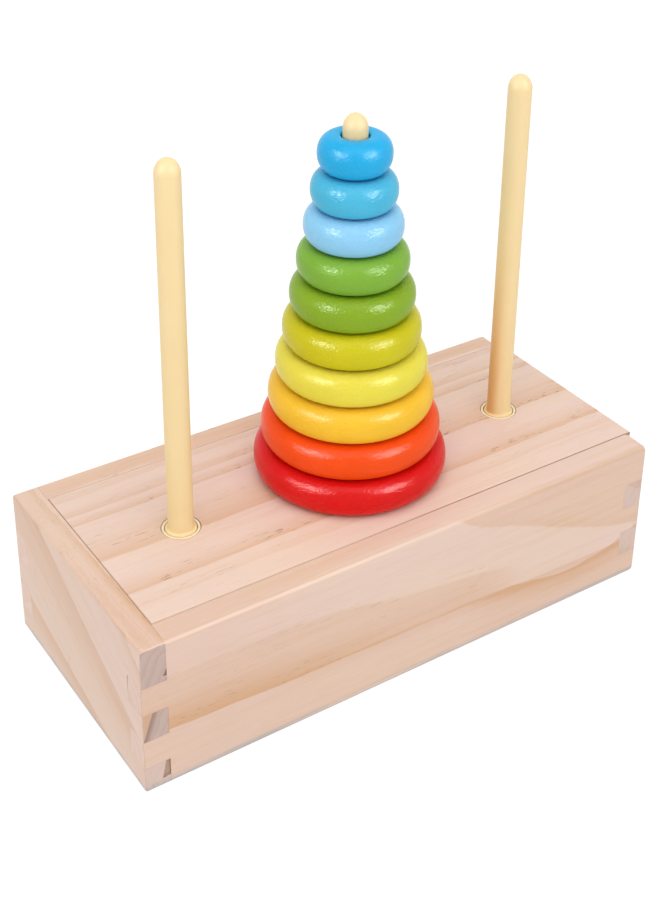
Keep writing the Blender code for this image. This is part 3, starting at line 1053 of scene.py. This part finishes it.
def build_socket(name, mat):
    """A cup-shaped insert, flush with the lid's top."""
    low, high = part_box("peg_socket_" + name)
    radius = (high.x - low.x) / 2
    edge = SOCKET_EDGE
    profile = [(0.0, low.z), (radius - edge, low.z), (radius, low.z + edge)]
    corner(profile, (radius - edge, high.z - edge), edge, 0, EDGE_STEPS)
    corner(profile, (SOCKET_BORE + edge, high.z - edge), edge, 90, EDGE_STEPS)
    profile += [(SOCKET_BORE, low.z + SOCKET_FLOOR), (0.0, low.z + SOCKET_FLOOR)]
    bm = lathe(profile, HOLE_SEGMENTS, False, (low + high) / 2)
    socket = add_object("peg_socket_%s_insert" % name, bm, mat, BOARD_SMOOTH_ANGLE)
    stand_for(socket, "peg_socket_" + name, "lid")


def build_peg(name, mat):
    """A tapered peg with a foot in the insert, a flare at the lid's top and a domed tip."""
    low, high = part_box("peg_" + name)
    foot_radius = (high.x - low.x) / 2
    edge = SOCKET_EDGE
    foot_top = BOX_HEIGHT
    profile = [(0.0, low.z), (foot_radius - edge, low.z), (foot_radius, low.z + edge)]
    profile.append((foot_radius, foot_top - 2 * edge))
    profile.append((foot_radius - edge, foot_top))
    flare_width = (foot_radius - PEG_RADIUS_BASE) * PEG_FLARE_SHARE
    for i in range(PEG_FLARE_STEPS + 1):
        angle = math.pi / 2 * i / PEG_FLARE_STEPS
        radius = PEG_RADIUS_BASE + flare_width * (1 - math.sin(angle))
        profile.append((radius, foot_top + PEG_FLARE * (1 - math.cos(angle))))
    for i in range(PEG_DOME_STEPS):
        angle = math.pi / 2 * i / PEG_DOME_STEPS
        profile.append((PEG_RADIUS_TOP * math.cos(angle), high.z - PEG_DOME * (1 - math.sin(angle))))
    profile.append((0.0, high.z))
    bm = lathe(profile, PEG_SEGMENTS, False, (low + high) / 2)
    peg = add_object("peg_%s_rod" % name, bm, mat, PEG_SMOOTH_ANGLE)
    stand_for(peg, "peg_" + name, "peg_" + name)


# ---------------------------------------------------------------- rings


def ring_profile(radius, low, high):
    """A ring's section: bulged outer side, flat top and bottom, soft edges at the hole."""
    half = (high - low) / 2
    middle = (high + low) / 2
    inner = RING_HOLE_RADIUS
    soft = RING_HOLE_CHAMFER
    bulge = min(RING_BULGE, (radius - inner - soft) * RING_BULGE_SHARE)
    power = 2 / RING_EXPONENT
    points = []
    for i in range(RING_SIDE_STEPS + 1):
        angle = math.pi * (i / RING_SIDE_STEPS - 0.5)
        out = abs(math.cos(angle)) ** power
        up = math.copysign(abs(math.sin(angle)) ** power, math.sin(angle))
        points.append((radius - bulge + bulge * out, middle + half * up))
    corner(points, (inner + soft, high - soft), soft, 90, RING_HOLE_STEPS)
    corner(points, (inner + soft, low + soft), soft, 180, RING_HOLE_STEPS)
    return points


def build_rings():
    """The rings, largest first, each in its own paint."""
    for index, (slot, colour) in enumerate(RING_COLOURS.items()):
        name = "ring_%02d" % (index + 1)
        low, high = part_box(name)
        radius = (high.x - low.x) / 2
        bm = lathe(ring_profile(radius, low.z, high.z), RING_SEGMENTS, True, (low + high) / 2)
        mat = paint("paint_" + slot, index + 1, colour)
        ring = add_object(name + "_painted", bm, mat, RING_SMOOTH_ANGLE)
        stand_for(ring, name, name)


# ---------------------------------------------------------------- the scene

make_camera()
make_studio()
build_box()
peg_names = ("left", "center", "right")
build_lid(peg_names)
for index, name in enumerate(peg_names):
    build_socket(name, cream_plastic("socket_%s_plastic" % name, index + 4, SOCKET_CREAM))
    build_peg(name, cream_plastic("peg_%s_plastic" % name, index + 1, PEG_CREAM, name == "right"))
build_rings()
